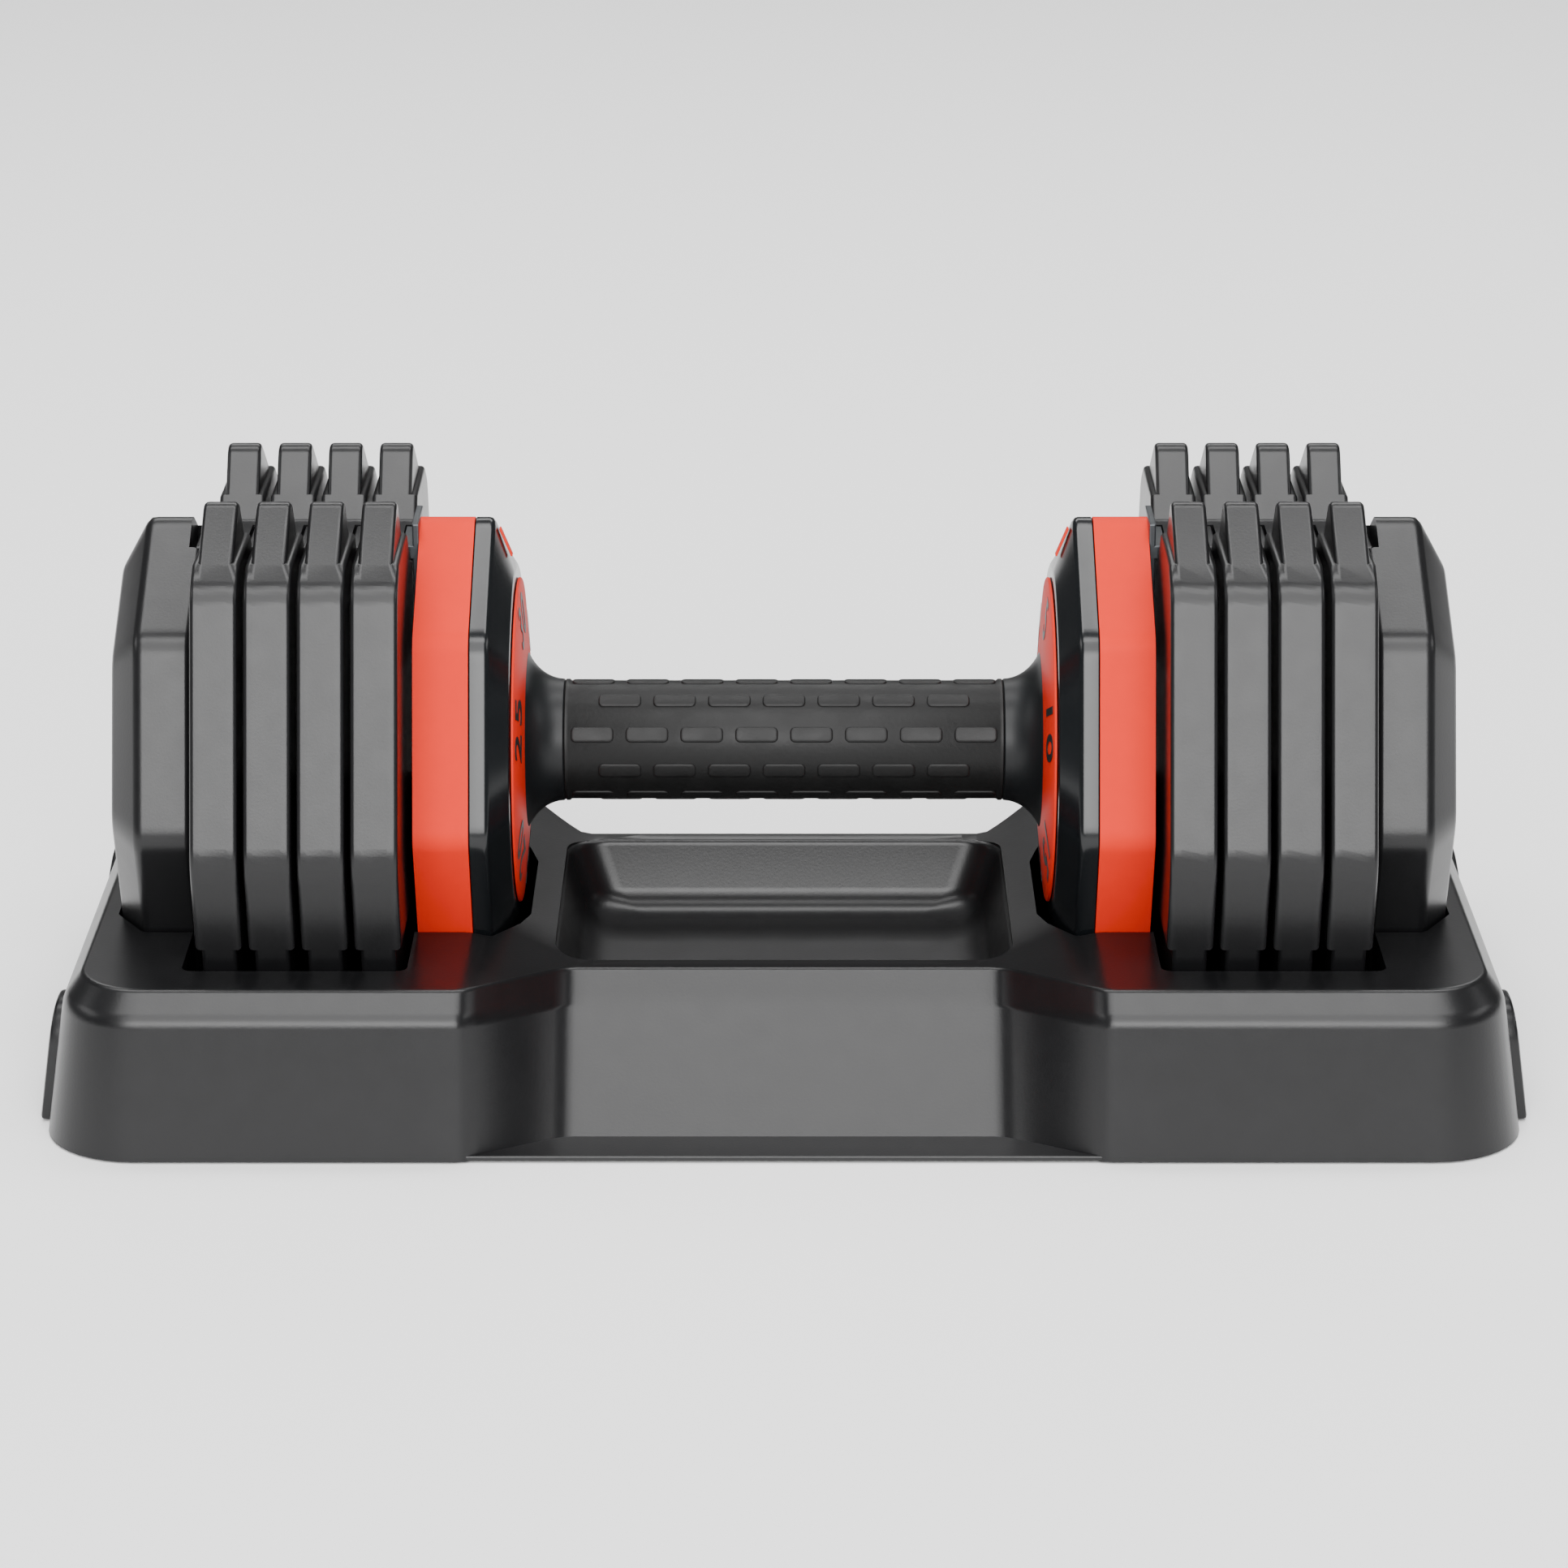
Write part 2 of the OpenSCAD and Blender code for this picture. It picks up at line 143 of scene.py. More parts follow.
def add_prism(bm, outline, x0, x1):
    """A straight prism along X from an outline of (y, z) about the handle axis."""
    low = [bm.verts.new((x0, y, z + AXIS_Z)) for y, z in outline]
    high = [bm.verts.new((x1, y, z + AXIS_Z)) for y, z in outline]
    bm.faces.new(low)
    bm.faces.new(high[::-1])
    for i in range(len(outline)):
        j = (i + 1) % len(outline)
        bm.faces.new((low[j], low[i], high[i], high[j]))


def add_loft(bm, rings, closed=False):
    """Skins rings of points that all have the same count; the ends are capped unless closed."""
    rows = [[bm.verts.new(p) for p in ring] for ring in rings]
    count = len(rows[0])
    pairs = list(zip(rows, rows[1:])) + ([(rows[-1], rows[0])] if closed else [])
    for a, b in pairs:
        for i in range(count):
            j = (i + 1) % count
            bm.faces.new((a[i], a[j], b[j], b[i]))
    if not closed:
        bm.faces.new(rows[0][::-1])
        bm.faces.new(rows[-1])


def add_box(bm, low, high):
    size = [high[i] - low[i] for i in range(3)]
    mid = [(high[i] + low[i]) / 2 for i in range(3)]
    bmesh.ops.create_cube(bm, size=1, matrix=Matrix.Translation(mid) @ Matrix.Diagonal((*size, 1)))


def circle_ring(x, radius, count, y=0.0, z=0.0):
    return [(x, y + radius * math.cos(2 * math.pi * i / count),
             AXIS_Z + z + radius * math.sin(2 * math.pi * i / count)) for i in range(count)]


def outline_ring(x, outline, scale, count):
    """The outline cut by rays from the axis, so that it matches a circle_ring point for point."""
    ring = []
    for i in range(count):
        a = 2 * math.pi * i / count
        ray = Vector((math.cos(a), math.sin(a)))
        best = 0
        for p, q in zip(outline, outline[1:] + outline[:1]):
            p, q = Vector(p), Vector(q)
            edge = q - p
            det = ray.x * -edge.y + edge.x * ray.y
            if abs(det) < 1e-9:
                continue
            far = (p.x * -edge.y + edge.x * p.y) / det
            along = (ray.x * p.y - ray.y * p.x) / det
            if far > 0 and -1e-6 <= along <= 1 + 1e-6:
                best = max(best, far)
        ring.append((x, ray.x * best * scale, AXIS_Z + ray.y * best * scale))
    return ring


def lathe(name, profile, flip, count=120):
    """A solid of revolution about the handle axis from a closed profile of (radius, x)."""
    bm = bmesh.new()
    add_loft(bm, [circle_ring(x, r, count) for r, x in profile], closed=True)
    return finish_mesh(name, bm, flip)


def boolean(obj, bm, operation="DIFFERENCE", flip=False, sharp=35):
    """Cuts a mesh in millimetres out of obj, or adds it, and keeps the result as obj's mesh."""
    tool = finish_mesh("tool", bm, flip)
    mod = obj.modifiers.new("cut", "BOOLEAN")
    mod.object = tool
    mod.operation = operation
    mod.solver = "EXACT"
    graph = bpy.context.evaluated_depsgraph_get()
    mesh = bpy.data.meshes.new_from_object(obj.evaluated_get(graph))
    obj.modifiers.clear()
    obj.data = mesh
    mesh.name = obj.name
    bpy.data.objects.remove(tool)
    mesh.shade_smooth()
    mesh.set_sharp_from_angle(angle=math.radians(sharp))


def round_edges(obj, width, segments=2, angle=35):
    """Bevels the edges sharper than an angle and shades the piece smooth all over."""
    bevel = obj.modifiers.new("bevel", "BEVEL")
    bevel.width = width * MM
    bevel.segments = segments
    bevel.limit_method = "ANGLE"
    bevel.angle_limit = math.radians(angle)
    smooth = obj.modifiers.new("normals", "WEIGHTED_NORMAL")
    smooth.keep_sharp = False
    smooth.weight = 80
    for polygon in obj.data.polygons:
        polygon.use_smooth = True
    for edge in obj.data.edges:
        edge.use_edge_sharp = False


def even_normals(obj):
    """Keeps large flat faces flat in the shading, with the blends between them smooth."""
    smooth = obj.modifiers.new("normals", "WEIGHTED_NORMAL")
    smooth.keep_sharp = True
    smooth.weight = 80


def cylinder(x0, x1, radius, count=48, y=0.0, z=0.0):
    bm = bmesh.new()
    add_loft(bm, [circle_ring(x0, radius, count, y, z), circle_ring(x1, radius, count, y, z)])
    return bm


def block(low, high):
    bm = bmesh.new()
    add_box(bm, low, high)
    return bm


# ---------- Materials ----------

def new_material(name, color, roughness, metallic=0.0, specular=0.5):
    mat = bpy.data.materials.new(name)
    mat.use_nodes = True
    shader = mat.node_tree.nodes["Principled BSDF"]
    shader.inputs["Base Color"].default_value = (*color, 1)
    shader.inputs["Roughness"].default_value = roughness
    shader.inputs["Metallic"].default_value = metallic
    shader.inputs["Specular IOR Level"].default_value = specular
    return mat


def link(mat, a, b):
    mat.node_tree.links.new(a, b)


def surface_detail(mat, color, roughness, grain=900.0, bump=0.06, mottle=0.12, rough_vary=0.06, edge=0.25,
                   stretch=(1, 1, 1)):
    """Moulding grain, slight mottling in colour and gloss, and edges made paler as a painted highlight."""
    nodes = mat.node_tree.nodes
    shader = nodes["Principled BSDF"]
    coord = nodes.new("ShaderNodeTexCoord")
    place = nodes.new("ShaderNodeMapping")
    place.inputs["Scale"].default_value = stretch
    link(mat, coord.outputs["Object"], place.inputs["Vector"])
    broad = nodes.new("ShaderNodeTexNoise")
    broad.inputs["Scale"].default_value = 150
    broad.inputs["Detail"].default_value = 5
    fine = nodes.new("ShaderNodeTexNoise")
    fine.inputs["Scale"].default_value = grain
    fine.inputs["Detail"].default_value = 3
    for tex in (broad, fine):
        link(mat, place.outputs["Vector"], tex.inputs["Vector"])
    ramp = nodes.new("ShaderNodeMapRange")
    ramp.inputs["From Min"].default_value = 0.3
    ramp.inputs["From Max"].default_value = 0.7
    ramp.inputs["To Min"].default_value = 1 - mottle
    ramp.inputs["To Max"].default_value = 1 + mottle
    link(mat, broad.outputs["Fac"], ramp.inputs["Value"])
    tint = nodes.new("ShaderNodeVectorMath")
    tint.operation = "SCALE"
    tint.inputs[0].default_value = color
    link(mat, ramp.outputs["Result"], tint.inputs["Scale"])
    # Painted highlight: edges, found by their pointiness, are mixed towards a paler colour
    geometry = nodes.new("ShaderNodeNewGeometry")
    painted_edge_highlight = nodes.new("ShaderNodeMapRange")
    painted_edge_highlight.inputs["From Min"].default_value = 0.53
    painted_edge_highlight.inputs["From Max"].default_value = 0.66
    painted_edge_highlight.inputs["To Min"].default_value = 0
    painted_edge_highlight.inputs["To Max"].default_value = edge
    link(mat, geometry.outputs["Pointiness"], painted_edge_highlight.inputs["Value"])
    mix = nodes.new("ShaderNodeMix")
    mix.data_type = "RGBA"
    link(mat, painted_edge_highlight.outputs["Result"], mix.inputs["Factor"])
    link(mat, tint.outputs["Vector"], mix.inputs["A"])
    mix.inputs["B"].default_value = (*[min(1, c * 1.6 + 0.05) for c in color], 1)
    link(mat, mix.outputs["Result"], shader.inputs["Base Color"])
    gloss = nodes.new("ShaderNodeMapRange")
    gloss.inputs["From Min"].default_value = 0.3
    gloss.inputs["From Max"].default_value = 0.7
    gloss.inputs["To Min"].default_value = roughness - rough_vary
    gloss.inputs["To Max"].default_value = roughness + rough_vary
    link(mat, broad.outputs["Fac"], gloss.inputs["Value"])
    link(mat, gloss.outputs["Result"], shader.inputs["Roughness"])
    relief = nodes.new("ShaderNodeBump")
    relief.inputs["Strength"].default_value = bump
    relief.inputs["Distance"].default_value = 0.0003
    link(mat, fine.outputs["Fac"], relief.inputs["Height"])
    link(mat, relief.outputs["Normal"], shader.inputs["Normal"])
    return mat


def detailed(name, color, roughness, metallic=0.0, specular=0.5, **detail):
    mat = new_material(name, color, roughness, metallic, specular)
    return surface_detail(mat, color, roughness, **detail)


BLACK = (0.005, 0.005, 0.0055)
HEAD_BLACK = (0.004, 0.0048, 0.0055)
ORANGE = (0.60, 0.017, 0.005)
SATIN = {"specular": 0.36, "bump": 0.07, "mottle": 0.06, "rough_vary": 0.015}
SMOOTH = {"grain": 1600, "mottle": 0.04, "rough_vary": 0.012, "edge": 0.08}
PAINTED = {"specular": 0.1, "grain": 1500, "bump": 0.05, "mottle": 0.02, "rough_vary": 0.015, "edge": 0.05}
MATERIALS = {
    "tray_plastic": detailed("tray_plastic", BLACK, 0.31, grain=1400, edge=0.12, **SATIN),
    "rubber": detailed("rubber", (0.012, 0.012, 0.012), 0.8, grain=700, bump=0.3),
    "plate_plastic": detailed("plate_plastic", BLACK, 0.31, grain=1500, edge=0.15, **SATIN),
    "core_steel": detailed("core_steel", (0.32, 0.32, 0.33), 0.5, metallic=1.0, grain=500, bump=0.3),
    "head_plastic": detailed("head_plastic", HEAD_BLACK, 0.22, specular=0.4, bump=0.02, **SMOOTH),
    "flare_plastic": detailed("flare_plastic", HEAD_BLACK, 0.42, specular=0.3, bump=0.03, **SMOOTH),
    "orange_plastic": detailed("orange_plastic", ORANGE, 0.55, **PAINTED),
    "dial_orange": detailed("dial_orange", ORANGE, 0.55, **PAINTED),
    "grip_rubber": detailed("grip_rubber", (0.005, 0.005, 0.005), 0.45, specular=0.22, grain=900, bump=0.18,
                            mottle=0.08, edge=0.10),
    "hook_steel": detailed("hook_steel", (0.05, 0.055, 0.06), 0.35, metallic=0.6, grain=900, bump=0.1),
    "steel": detailed("steel", (0.55, 0.55, 0.57), 0.3, metallic=1.0, grain=300, bump=0.15,
                      stretch=(1, 0.1, 0.1)),
    "bronze": detailed("bronze", (0.5, 0.33, 0.13), 0.35, metallic=1.0, grain=500, bump=0.15),
    "numeral_ink": detailed("numeral_ink", (0.006, 0.006, 0.006), 0.5, grain=1500, bump=0.05, edge=0.0),
}


def dress(obj, slot, body, *nodes, material=None):
    """Gives a piece its material and its body, and hides the CAD nodes that it stands for."""
    obj.data.materials.clear()
    obj.data.materials.append(MATERIALS[material or slot])
    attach(obj, body)
    if nodes:
        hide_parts(*nodes)


for part in frame["record"]["subparts"]:
    node = frame["nodes"][part["node"]]
    for slot_item in node.material_slots:
        slot_item.material = MATERIALS[part["material_slot"]]


# ---------- Weight plates ----------

def split_outline(outline, levels):
    """The outline with points added where it crosses each level."""
    out = []
    for (y0, z0), (y1, z1) in zip(outline, outline[1:] + outline[:1]):
        out.append((y0, z0))
        cross = sorted(((z - z0) / (z1 - z0), z) for z in levels if (z0 - z) * (z1 - z) < 0)
        out += [(y0 + (y1 - y0) * t, z) for t, z in cross]
    return out


def inset_outline(outline, distance):
    """The outline moved inwards by a distance, along the mean normal at each point."""
    points = [Vector(point) for point in outline]
    turn = area_sign(points)
    out = []
    for before, here, after in zip(points[-1:] + points[:-1], points, points[1:] + points[:1]):
        first, second = (here - before).normalized(), (after - here).normalized()
        along = (first + second).normalized()
        inward = Vector((-along.y, along.x)) * turn
        out.append(tuple(here + inward * distance / along.dot(first)))
    return out


def rounded_slab(x, thickness, outline, steps=4):
    """A closed slab across the handle, centred on x, whose rim is rounded all round."""
    stations = []
    for i in range(steps + 1):
        a = math.pi / 2 * i / steps
        stations.append((thickness / 2 - RIM_R * (1 - math.cos(a)), RIM_R * (1 - math.sin(a))))
    stations = [(-half, inset) for half, inset in stations] + stations[::-1]
    bm = bmesh.new()
    add_loft(bm, [[(x + half, y, z + AXIS_Z) for y, z in inset_outline(outline, inset)]
                  for half, inset in stations])
    return bm


def notch_block(x):
    low, high = NOTCH_Z
    return block((x - 1, -NOTCH_HALF, AXIS_Z + low), (x + NOTCH_DEPTH, NOTCH_HALF, AXIS_Z + high))


def make_plates():
    outline = split_outline(rounded(both_sides(PLATE_SIDE)), (BOSS_TOP, BOSS_FOOT))
    middle = [(y, z) for y, z in outline if BOSS_FOOT - 1e-9 <= z <= BOSS_TOP + 1e-9]
    for k in range(1, 5):
        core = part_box(f"steel_core_{k}_right")
        x = (core[0].x + core[1].x) / 2 / MM
        for side, sign in SIDES.items():
            flip = sign < 0
            plate = finish_mesh(f"plate_body_{k}_{side}", rounded_slab(x, THIN_T, outline), flip)
            boolean(plate, rounded_slab(x, BOSS_T, middle), "UNION", flip=flip)
            boolean(plate, cylinder(x - BOSS_T, x + BOSS_T, BORE_R), flip=flip)
            boolean(plate, notch_block(x - BOSS_T / 2), flip=flip)
            even_normals(plate)
            dress(plate, "plate_plastic", f"plates_{k}", f"plate_{k}_{side}")
            face = x + BOSS_T / 2
            bar = block((face - 0.3, -TONGUE_HALF, AXIS_Z + TONGUE_Z[0]),
                        (face + TONGUE_REACH, TONGUE_HALF, AXIS_Z + TONGUE_Z[1]))
            tongue = finish_mesh(f"plate_tongue_{k}_{side}", bar, flip)
            round_edges(tongue, 0.5)
            dress(tongue, "plate_plastic", f"plates_{k}")


def make_end_plates():
    big = rounded(both_sides(HEAD_SIDE))
    small = rounded(both_sides(END_FACE_SIDE))
    # Sections as (x, outline, scale)
    sections = [(END_X, big, 0.975), (END_X + 0.4, big, 0.992), (END_X + 1.5, big, 1),
                (END_CHAMFER_X - 2, big, 1), (END_CHAMFER_X - 0.4, big, 0.997),
                (END_CHAMFER_X + 1, big, 0.975), (END_OUT - 0.8, small, 1.035),
                (END_OUT - 0.2, small, 1.01), (END_OUT, small, 0.975)]
    for side, sign in SIDES.items():
        flip = sign < 0
        bm = bmesh.new()
        add_loft(bm, [outline_ring(x, outline, scale, RAYS) for x, outline, scale in sections])
        end = finish_mesh(f"end_plate_body_{side}", bm, flip, 50)
        boolean(end, cylinder(END_X - 1, END_X + END_BORE_DEPTH, BORE_R), flip=flip, sharp=50)
        boolean(end, notch_block(END_X), flip=flip, sharp=50)
        even_normals(end)
        dress(end, "plate_plastic", "end_plates", f"end_plate_{side}")


# ---------- Heads ----------

# Head cover: the flat ring round the dial, the opening in it, the recess behind it and the slot for the hook
COVER_FACE_R = 49.4
COVER_HOLE_R = 20
COVER_RECESS_R = 45
COVER_RECESS_X = 77.6
HOOK_SLOT = ((79.9, -7.6, AXIS_Z - 70), (83.1, 7.6, AXIS_Z - 40))
# Band: the wall over its hollow, that hollow's scale, the guide bush's bore and the screws as (y, z)
BAND_WALL = 2.5
BAND_HOLLOW = 0.94
GUIDE_BORE_R = 13
SCREW_R = 4
SCREW_SPOTS = [(40, 31), (-40, 31), (39, -38), (-39, -38)]
# Index line on the bevel above the dial: half its width, and its ends as (x, z)
INDEX_HALF = 1.3
INDEX_LOW = (75.3, 53.4)
INDEX_HIGH = (78.5, 61.2)


def make_cover(side, flip, outline):
    bm = bmesh.new()
    add_loft(bm, [
        circle_ring(COVER_X + 0.3, COVER_HOLE_R, RAYS), circle_ring(COVER_X + 0.01, COVER_FACE_R - 1, RAYS),
        circle_ring(COVER_X + 0.35, COVER_FACE_R, RAYS), outline_ring(RIM_X - 0.9, outline, 0.978, RAYS),
        outline_ring(RIM_X - 0.1, outline, 0.995, RAYS), outline_ring(RIM_X + 0.8, outline, 1, RAYS),
        outline_ring(BAND_X - 0.5, outline, 1, RAYS), outline_ring(BAND_X - 0.12, outline, 0.993, RAYS),
        outline_ring(BAND_X - 0.02, outline, 0.97, RAYS), circle_ring(BAND_X - 0.02, COVER_RECESS_R, RAYS),
        circle_ring(COVER_RECESS_X, COVER_RECESS_R, RAYS), circle_ring(COVER_RECESS_X, COVER_HOLE_R, RAYS),
    ], closed=True)
    cover = finish_mesh(f"head_cover_body_{side}", bm, flip, 50)
    boolean(cover, block(*HOOK_SLOT), flip=flip, sharp=50)
    even_normals(cover)
    dress(cover, "head_plastic", "heads", f"head_cover_{side}")


def make_band(side, flip, outline):
    bm = bmesh.new()
    add_prism(bm, outline, BAND_X, HEAD_END)
    band = finish_mesh(f"head_band_body_{side}", bm, flip)
    hollow = bmesh.new()
    inner = [(y * BAND_HOLLOW, z * BAND_HOLLOW) for y, z in outline]
    add_prism(hollow, inner, BAND_X - 1, HEAD_END - BAND_WALL)
    boolean(band, hollow, flip=flip)
    boolean(band, cylinder(BAND_X, HEAD_END + 1, GUIDE_BORE_R), flip=flip)
    for y, z in SCREW_SPOTS:
        boolean(band, cylinder(BAND_X, HEAD_END + 1, SCREW_R, 32, y, z), flip=flip)
    round_edges(band, 0.5, angle=50)
    dress(band, "orange_plastic", "heads", f"head_band_{side}")


def make_index_line(side, flip):
    (low_x, low_z), (high_x, high_z) = INDEX_LOW, INDEX_HIGH
    bm = bmesh.new()
    corners = [(low_x, low_z), (high_x, high_z), (high_x - 0.5, high_z + 0.2), (low_x - 0.5, low_z + 0.2)]
    rows = [[bm.verts.new((x, y, z + AXIS_Z)) for x, z in corners] for y in (-INDEX_HALF, INDEX_HALF)]
    for i in range(4):
        j = (i + 1) % 4
        bm.faces.new((rows[0][i], rows[0][j], rows[1][j], rows[1][i]))
    bm.faces.new(rows[0])
    bm.faces.new(rows[1])
    mark = finish_mesh(f"index_line_{side}", bm, flip)
    round_edges(mark, 0.12)
    dress(mark, "orange_plastic", "heads")


def make_heads():
    outline = rounded(both_sides(HEAD_SIDE))
    for side, sign in SIDES.items():
        flip = sign < 0
        make_cover(side, flip, outline)
        make_band(side, flip, outline)
        make_index_line(side, flip)


# ---------- Handle ----------

NUMBERS = ("5", "10", "15", "20", "25", "30")
NUMERAL_HEIGHT = 11.5
NUMERAL_R = 36.0
# Angle of the front numeral above the horizontal, and from one numeral to the next
FRONT_NUMERAL = 22.0
NUMERAL_STEP = 60
# Which numeral is at the front of each dial
FRONT_INDEX = {"left": 4, "right": 1}
TUBE_R = 14
HUB_RISE = 7.3
HUB_R = GRIP_R + HUB_RISE
# The dial's face leans outwards by 2 mm from its hub to its rim
DIAL_SLOPE = 2.0 / (DIAL_R - HUB_R)


def make_numeral(text, side, angle):
    """A printed number lying on the dial, its top outwards, at an angle from the front towards the top."""
    sign = SIDES[side]
    curve = bpy.data.curves.new("numeral", "FONT")
    curve.body = text
    curve.size = NUMERAL_HEIGHT / 0.7 * MM
    curve.align_x = "CENTER"
    curve.align_y = "CENTER"
    curve.extrude = 0.05 * MM
    curve.offset = 0.25 * MM
    curve.space_character = 1.22
    text_obj = bpy.data.objects.new("numeral", curve)
    bpy.context.collection.objects.link(text_obj)
    graph = bpy.context.evaluated_depsgraph_get()
    mesh = bpy.data.meshes.new_from_object(text_obj.evaluated_get(graph))
    bpy.data.objects.remove(text_obj)
    a = math.radians(angle)
    outward = Vector((0, -math.cos(a), math.sin(a)))
    facing = Vector((-sign, 0, 0))
    up = (outward + Vector((sign * DIAL_SLOPE, 0, 0))).normalized()
    across = up.cross(facing).normalized()
    normal = across.cross(up)
    face_x = DIAL_X + DIAL_SLOPE * (NUMERAL_R - HUB_R) - 0.12
    centre = Vector((sign * face_x, 0, AXIS_Z)) + outward * NUMERAL_R
    place = Matrix((across, up, normal)).transposed().to_4x4()
    place.translation = centre * MM
    mesh.transform(place)
    obj = bpy.data.objects.new(f"numeral_{text}_{side}", mesh)
    bpy.context.collection.objects.link(obj)
    dress(obj, "dial_orange", "handle", material="numeral_ink")


def make_dials():
    """The trumpet-shaped shoulders and the dials, with the printed numbers."""
    steps = 14
    sweep = math.radians(62)
    curve = []
    for i in range(steps + 1):
        a = sweep * i / steps
        curve.append((GRIP_R + HUB_RISE * (1 - math.cos(a)) / (1 - math.cos(sweep)),
                      GRIP_END + (DIAL_X - GRIP_END) * math.sin(a) / math.sin(sweep)))
    flare = [(TUBE_R, GRIP_END + 0.02), (GRIP_R - 0.4, GRIP_END + 0.02), (GRIP_R, GRIP_END + 0.35)]
    flare += curve[2:] + [(HUB_R, DIAL_BACK), (TUBE_R, DIAL_BACK)]
    dial = [(HUB_R + 0.02, DIAL_X + 0.05), (HUB_R + 0.3, DIAL_X), (DIAL_R - 0.5, 73.12), (DIAL_R - 0.1, 73.3),
            (DIAL_R, 73.5), (DIAL_R, DIAL_BACK), (HUB_R + 0.02, DIAL_BACK)]
    for side, sign in SIDES.items():
        flip = sign < 0
        dress(lathe(f"flare_body_{side}", flare, flip), "head_plastic", "handle", f"flare_{side}",
              material="flare_plastic")
        dress(lathe(f"dial_body_{side}", dial, flip, 160), "dial_orange", "handle", f"dial_{side}")
        # The numbers run clockwise on both faces
        for i, text in enumerate(NUMBERS):
            make_numeral(text, side, FRONT_NUMERAL - sign * (i - FRONT_INDEX[side]) * NUMERAL_STEP)


# Pads on the grip, in rows of eight and seven by turns, and the first row's angle
PAD_ROWS = 10
PAD_PITCH = 15.15
PAD_LENGTH = 11.6
PAD_WIDTH = 4.2
FIRST_ROW = 180 - 22.3


def make_grip():
    """Rubber sleeve with rows of raised pads, each row shifted half a pitch from the next."""
    base = GRIP_R - 0.45
    half = [(base, GRIP_END - 1.7), (base + 0.45, GRIP_END - 1.2), (base + 0.45, GRIP_END - 0.3),
            (base + 0.1, GRIP_END), (TUBE_R, GRIP_END)]
    profile = [(r, -x) for r, x in half[::-1]] + half
    bm = bmesh.new()
    add_loft(bm, [circle_ring(x, r, 144) for r, x in profile], closed=True)
    for row in range(PAD_ROWS):
        pads = 8 if row % 2 == 0 else 7
        angle = math.radians(row * 360 / PAD_ROWS + FIRST_ROW)
        for i in range(pads):
            add_pad(bm, (i - (pads - 1) / 2) * PAD_PITCH, angle, base)
    grip = finish_mesh("grip_body", bm, sharp=45)
    dress(grip, "grip_rubber", "handle", "grip_sleeve")


def add_pad(bm, x, angle, base):
    """One raised pad with rounded ends and a softened top edge, wrapped on the grip."""
    rings = []
    for grow, rise in ((0.12, -0.3), (0.1, 0.12), (0.0, 0.3), (-0.28, 0.42), (-0.75, 0.45)):
        radius = base + rise
        ring = []
        for px, pw in corner_ring(PAD_LENGTH / 2 + grow, PAD_WIDTH / 2 + grow, max(1.3 + grow, 0.4), 4):
            a = angle + pw / GRIP_R
            ring.append((x + px, radius * math.cos(a), AXIS_Z + radius * math.sin(a)))
        rings.append(ring)
    add_loft(bm, rings)


def corner_ring(half_x, half_y, radius, steps):
    """Points round a rectangle with rounded corners, counter-clockwise."""
    ring = []
    for q, (sx, sy) in enumerate(((1, 1), (-1, 1), (-1, -1), (1, -1))):
        for k in range(steps + 1):
            a = math.radians(90 * q + 90 * k / steps)
            ring.append((sx * (half_x - radius) + radius * math.cos(a),
                         sy * (half_y - radius) + radius * math.sin(a)))
    return ring


# ---------- Tray ----------

# Wall sections from the foot up: the ends as (height, half width, half length, corner radius), and the
# waist between them as (height, half width)
LOBE = [(0.6, 103.5, 198.4, 26), (38.5, 98.2, 193, 22), (45, 91.7, 188, 18)]
WAIST = [(0.6, 90.5), (31, 62), (38, 56)]
# Where the waist ends and where the full width starts, along the tray
WAIST_X = 58.4
LOBE_X = 85.5
TRAY_WALL = 2.5
HEAD_FLOOR = 18.7
PLATE_FLOOR = 4.7
# Pockets as (plan on the +Y side, floor height)
POCKETS = [([(102, 47.4), (80, 47.4), (72.8, 31.5), (70.3, 22)], HEAD_FLOOR),
           ([(161.3, 77.5), (100.9, 77.5)], PLATE_FLOOR),
           ([(183.5, 33), (175, 47.4), (158, 47.4)], HEAD_FLOOR)]
POCKET_R = 3
# Where the hollow under each end stops, and what the finger pan takes out of it
HOLLOW_END = 183
PAN_SPACE = ((-65, -52.2, 15.5), (65, 52.2, 60))
# The pan's wall as (height, half length, half width)
PAN = [(42, 62.9, 50.3), (38.0, 62.9, 50.3), (37.6, 62.45, 49.85), (37.1, 62.15, 49.55), (36.2, 61.9, 49.3),
       (24.5, 58.0, 46.6), (21.8, 56.6, 45.4), (19.7, 54.2, 43.2), (18.5, 51.2, 40.4), (18.0, 47.5, 36.8)]
PAN_CORNER_R = 11
# Lip along the foot of the waist, the post in each head pocket and the arched pads on the end walls
LIP_HALF = 92
LIP_Y = (88, 102.9)
LIP_Z = (0.6, 2.1)
POST = ((80.4, -6, 18.2), (82.6, 6, 22.7))
LUG_Y = 62
LUG_HALF = 12
LUG_TOP = 32.5
LUG_ARCH_R = 10


def soft_corner(before, corner, after, trim, steps=4):
    """Points of a blend that replaces a corner of a polyline."""
    a = corner + (before - corner).normalized() * trim
    b = corner + (after - corner).normalized() * trim
    shares = [k / steps for k in range(steps + 1)]
    return [a * (1 - t) ** 2 + corner * 2 * t * (1 - t) + b * t ** 2 for t in shares]


def tray_profile(points):
    """From three control points of a wall section, the wall from the floor to a little way onto the top."""
    foot, shoulder, brow = points
    centre = Vector((max(-120, min(120, brow.x)), 0, brow.z))
    inward = centre - brow
    inward.z = 0
    top = brow + inward.normalized() * 9
    return [foot] + soft_corner(foot, shoulder, brow, 2.4) + soft_corner(shoulder, brow, top, 1.1) + [top]


